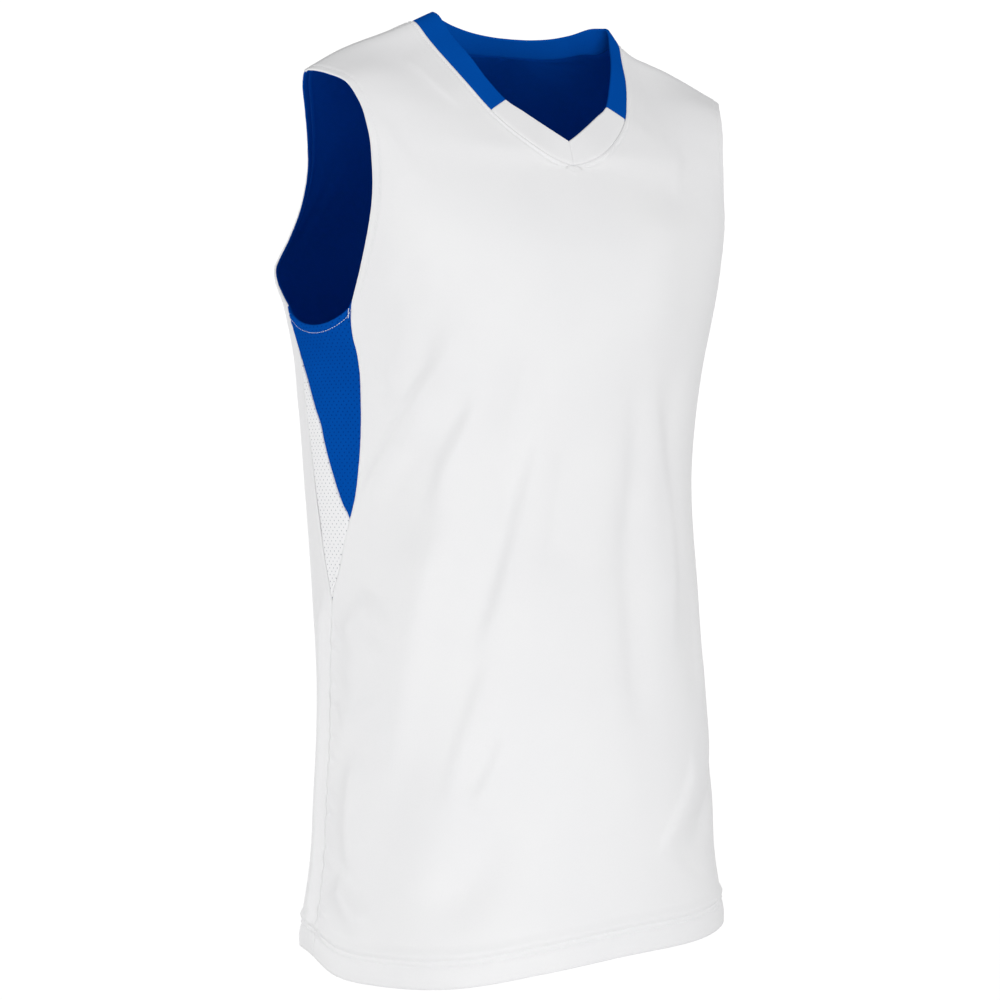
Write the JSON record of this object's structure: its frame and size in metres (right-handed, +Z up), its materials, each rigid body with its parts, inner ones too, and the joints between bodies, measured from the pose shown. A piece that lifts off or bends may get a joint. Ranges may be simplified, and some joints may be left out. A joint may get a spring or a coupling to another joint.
{
  "type": "basketball jersey",
  "caption": "Sleeveless V-necked basketball jersey, hollow and filled out, with a contrast neckband and pointed mesh side inserts over a contrast inner ply.",
  "frame": {"origin": "on the centre plane, level with the neck ends of the shoulder seams, where a hanger or the shoulders hold the jersey up", "axes": "+Z up, the front faces -Y, +X is the wearer's left"},
  "size_m": [0.4245, 0.277, 0.7942],
  "materials": {
    "white_knit": "smooth white polyester knit",
    "white_mesh": "white pinhole mesh",
    "blue_knit": "smooth royal blue polyester knit",
    "blue_mesh": "royal blue pinhole mesh",
    "blue_lining": "dark royal blue polyester knit"
  },
  "bodies": {
    "root": {"front_panel": "white_knit", "back_panel": "white_knit", "side_mesh_blue_right": "blue_mesh", "side_mesh_blue_left": "blue_mesh", "side_mesh_white_right": "white_mesh", "side_mesh_white_left": "white_mesh", "neckband_blue": "blue_knit", "neckband_white_right": "white_knit", "neckband_white_left": "white_knit", "lining_front": "blue_lining", "lining_back": "blue_lining"}
  },
  "joints": []
}
